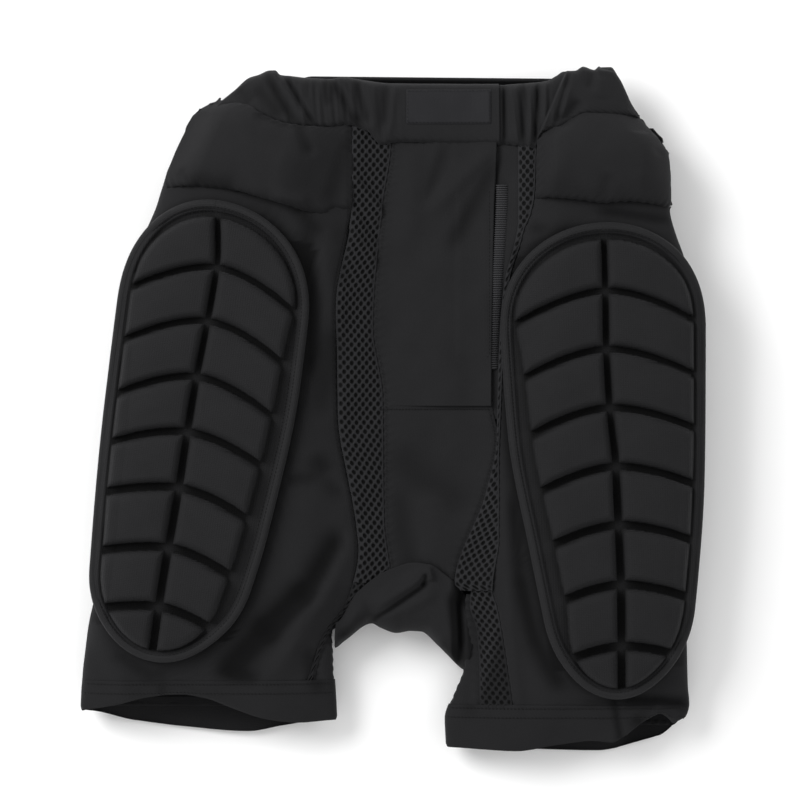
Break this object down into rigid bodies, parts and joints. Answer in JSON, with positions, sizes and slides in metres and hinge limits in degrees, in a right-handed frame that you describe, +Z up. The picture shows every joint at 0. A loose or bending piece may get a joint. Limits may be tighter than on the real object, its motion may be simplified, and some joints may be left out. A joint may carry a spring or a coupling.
{
  "type": "padded impact shorts",
  "caption": "Close-fitting black stretch shorts with grooved foam thigh pads, hip and seat cushions, a waistband tab and a fly flap, lying flat with the front up.",
  "frame": {"origin": "on the flat surface the shorts lie on, under the middle of their overall length and width", "axes": "+Z up from the surface, out of the front of the shorts; +Y from the leg hems to the waist; +X towards the wearer's left hip"},
  "size_m": [0.4474, 0.4956, 0.0717],
  "materials": {
    "cloth": "matt black stretch jersey",
    "mesh": "matt black spacer mesh",
    "foam": "moulded closed-cell foam with a laminated matt black face",
    "cushion": "soft cut foam",
    "binding": "folded woven tape, slight sheen",
    "tape": "hook and loop tape",
    "elastic": "braided elastic",
    "board": "thin polyethylene sheet",
    "label": "blank woven label"
  },
  "bodies": {
    "seat_and_waist": {"elastic_left": "elastic", "elastic_rear": "elastic", "elastic_right": "elastic", "fly_loop_strip": "tape", "fly_panel": "cloth", "fly_underlap": "cloth", "front_panel_upper": "cloth", "hip_cover_left": "cloth", "hip_cover_right": "cloth", "hip_foam_left": "cushion", "hip_foam_right": "cushion", "hip_lining_left": "mesh", "hip_lining_right": "mesh", "mesh_front_left_upper": "mesh", "mesh_front_right_upper": "mesh", "seat_pad_left": "cushion", "seat_pad_right": "cushion", "size_label": "label", "tailbone_pad": "cushion", "thigh_front_left_upper": "cloth", "thigh_front_right_upper": "cloth", "thigh_pad_binding_left_upper": "binding", "thigh_pad_binding_right_upper": "binding", "thigh_pad_board_left_upper": "board", "thigh_pad_board_right_upper": "board", "thigh_pad_foam_left_upper": "foam", "thigh_pad_foam_right_upper": "foam", "thigh_rear_left_upper": "cloth", "thigh_rear_right_upper": "cloth", "waist_loop_patch": "tape", "waistband_left": "cloth", "waistband_rear": "cloth", "waistband_right": "cloth"},
    "fly_flap": {"fly_flap": "cloth", "fly_hook_strip": "tape", "waist_badge": "label", "waist_hook_patch": "tape", "waist_tab": "cloth"},
    "legs": {"crotch_gusset": "cloth", "front_panel_lower": "cloth", "hem_front_left": "cloth", "hem_front_right": "cloth", "hem_rear_left": "cloth", "hem_rear_right": "cloth", "mesh_front_left_lower": "mesh", "mesh_front_right_lower": "mesh", "mesh_inner_left": "mesh", "mesh_inner_right": "mesh", "thigh_front_left_lower": "cloth", "thigh_front_right_lower": "cloth", "thigh_pad_binding_left_lower": "binding", "thigh_pad_binding_right_lower": "binding", "thigh_pad_board_left_lower": "board", "thigh_pad_board_right_lower": "board", "thigh_pad_foam_left_lower": "foam", "thigh_pad_foam_right_lower": "foam", "thigh_rear_left_lower": "cloth", "thigh_rear_right_lower": "cloth"}
  },
  "joints": [
    {"name": "fly_flap_open", "type": "hinge", "parent": "seat_and_waist", "child": "fly_flap", "pos_m": [0.0073, 0.2472, 0.0455], "axis": [0.2584, -0.966, 0], "range_deg": [0, 110]},
    {"name": "thigh_fold", "type": "hinge", "parent": "seat_and_waist", "child": "legs", "pos_m": [0, -0.0348, 0.0735], "axis": [-1, 0, 0], "range_deg": [0, 60]}
  ]
}
